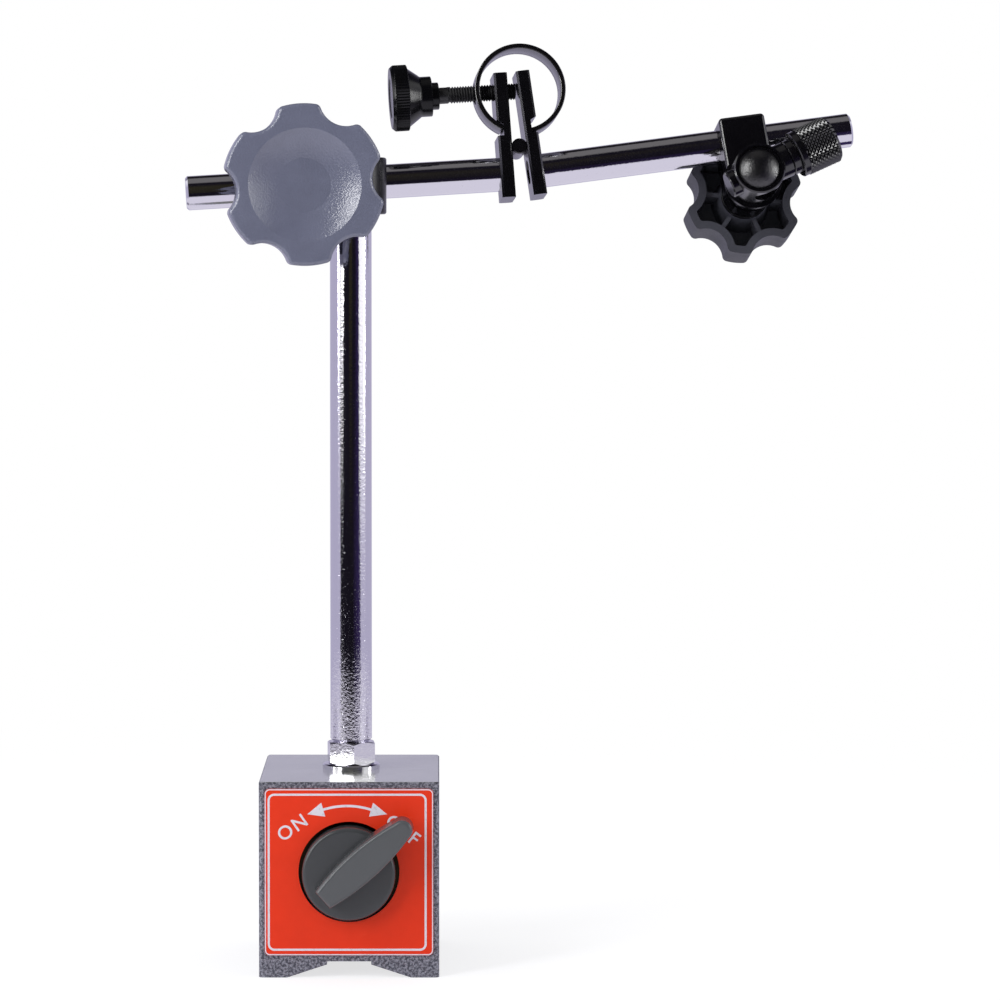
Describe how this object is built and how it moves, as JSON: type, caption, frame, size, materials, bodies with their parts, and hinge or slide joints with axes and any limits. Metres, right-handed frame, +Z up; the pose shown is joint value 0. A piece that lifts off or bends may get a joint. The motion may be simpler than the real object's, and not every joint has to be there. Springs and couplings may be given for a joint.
{
  "type": "magnetic indicator stand",
  "caption": "Switchable magnet block with a column, a swivelling rod arm with a sprung fine-adjustment head, and a holder for a measuring indicator's stem.",
  "frame": {"origin": "centre of the magnet block's underside, on the plane of its two feet", "axes": "+X to the right as seen from the switch side, +Y away from the viewer, +Z up along the column"},
  "size_m": [0.1966, 0.0937, 0.266],
  "materials": {
    "grey_hammer_paint": "hammertone enamel on the sides and ends, ground steel on top and in the vee",
    "ground_spacer": "ground flush with the shoes",
    "red_label": "screen-printed red aluminium plate with white lines",
    "magnet_alloy": "bare sintered magnet",
    "bare_iron": "machined iron",
    "bearing_brass": "turned brass",
    "chrome": "bright chromium plate",
    "black_oxide": "satin black oxide on steel",
    "spring_black": "black oxide spring steel",
    "switch_plastic": "satin moulded plastic",
    "grey_knob_plastic": "fine-grained moulded phenolic plastic",
    "black_knob_plastic": "moulded black plastic",
    "insert_steel": "turned steel bush"
  },
  "bodies": {
    "base": {"left_pole_shoe": "grey_hammer_paint", "right_pole_shoe": "grey_hammer_paint", "upper_spacer": "ground_spacer", "lower_spacer": "ground_spacer", "rear_plug": "bare_iron", "stop_pin": "insert_steel", "front_bearing": "bearing_brass", "face_label": "red_label", "column_washer": "chrome", "lock_nut": "chrome"},
    "switch": {"rotor_magnet": "magnet_alloy", "rotor_upper_segment": "bare_iron", "rotor_lower_segment": "bare_iron", "rotor_front_hub": "bearing_brass", "rotor_rear_hub": "bearing_brass", "switch_knob": "switch_plastic"},
    "column": {"column": "chrome"},
    "column_clamp": {"column_clamp": "black_oxide", "main_washer": "chrome"},
    "arm_eye": {"main_eye_bolt": "black_oxide", "arm_sleeve": "black_oxide"},
    "main_knob": {"main_knob": "grey_knob_plastic", "main_knob_insert": "insert_steel"},
    "arm_rod": {"left_rod": "chrome"},
    "fine_head": {"left_plate": "black_oxide", "fulcrum_pin": "insert_steel", "spring_ring": "spring_black"},
    "feed_screw": {"adjusting_screw": "black_oxide"},
    "screw_knob": {"adjusting_knob": "black_knob_plastic"},
    "tilt_arm": {"right_plate": "black_oxide"},
    "right_rod": {"right_rod": "chrome"},
    "rod_clamp": {"end_clamp": "black_oxide", "friction_washer": "black_oxide", "thrust_washer": "chrome"},
    "holder": {"holder_bolt": "black_oxide", "holder_sleeve": "black_oxide"},
    "star_knob": {"star_knob": "black_knob_plastic", "star_knob_insert": "insert_steel"},
    "thumb_screw": {"thumb_screw": "black_oxide"}
  },
  "joints": [
    {"name": "switch_turn", "type": "hinge", "parent": "base", "child": "switch", "pos_m": [0, 0, 0.0301], "axis": [0, -1, 0], "range_deg": [0, 97]},
    {"name": "column_turn", "type": "hinge", "parent": "base", "child": "column", "pos_m": [0, 0, 0.0634], "axis": [0, 0, 1], "continuous": true},
    {"name": "clamp_slide", "type": "slide", "parent": "column", "child": "column_clamp", "axis": [0, 0, -1], "range_m": [-0.004, 0.135]},
    {"name": "arm_swivel", "type": "hinge", "parent": "column_clamp", "child": "arm_eye", "pos_m": [-0.01614, 0.01696, 0.2239], "axis": [0.0872, -0.9962, 0], "range_deg": [-75, 90]},
    {"name": "main_knob_turn", "type": "hinge", "parent": "arm_eye", "child": "main_knob", "pos_m": [-0.01614, 0.01696, 0.2239], "axis": [0.0872, -0.9962, 0], "range_deg": [0, 360]},
    {"name": "arm_slide", "type": "slide", "parent": "arm_eye", "child": "arm_rod", "axis": [0.9944, 0.087, 0.0605], "range_m": [-0.033, 0.022]},
    {"name": "arm_roll", "type": "hinge", "parent": "arm_rod", "child": "fine_head", "pos_m": [-0.01614, 0.01696, 0.2239], "axis": [-0.9944, -0.087, -0.0605], "continuous": true},
    {"name": "screw_feed", "type": "slide", "parent": "fine_head", "child": "feed_screw", "axis": [0.9944, 0.087, 0.0605], "range_m": [-0.0016, 0.0016]},
    {"name": "screw_turn", "type": "hinge", "parent": "feed_screw", "child": "screw_knob", "pos_m": [0.04127, 0.02539, 0.25162], "axis": [0.9944, 0.087, 0.0605], "range_deg": [-720, 720]},
    {"name": "fine_tilt", "type": "hinge", "parent": "fine_head", "child": "tilt_arm", "pos_m": [0.04857, 0.02364, 0.23509], "axis": [-0.0779, 0.9872, -0.1389], "range_deg": [-5.37, 5.37], "deforming": ["spring_ring"]},
    {"name": "right_rod_roll", "type": "hinge", "parent": "tilt_arm", "child": "right_rod", "pos_m": [0.04961, 0.02271, 0.22792], "axis": [0.9867, 0.0963, 0.131], "range_deg": [-180, 180]},
    {"name": "holder_slide", "type": "slide", "parent": "right_rod", "child": "rod_clamp", "axis": [0.9867, 0.0963, 0.131], "range_m": [-0.04, 0.026]},
    {"name": "holder_swivel", "type": "hinge", "parent": "rod_clamp", "child": "holder", "pos_m": [0.11676, 0.02593, 0.2236], "axis": [0.062, -0.9678, 0.2441], "range_deg": [-180, 180]},
    {"name": "star_knob_turn", "type": "hinge", "parent": "holder", "child": "star_knob", "pos_m": [0.11618, 0.03493, 0.22133], "axis": [-0.062, 0.9678, -0.2441], "range_deg": [0, 360]},
    {"name": "thumb_screw_turn", "type": "hinge", "parent": "holder", "child": "thumb_screw", "pos_m": [0.11786, 0.0087, 0.22794], "axis": [0.8996, 0.1601, 0.4062], "range_deg": [0, 360]}
  ],
  "couplings": [
    {"joint": "screw_feed", "follows": "screw_turn", "m_per_rad": 0.00012732},
    {"joint": "fine_tilt", "follows": "screw_turn", "ratio": 0.0074459}
  ]
}
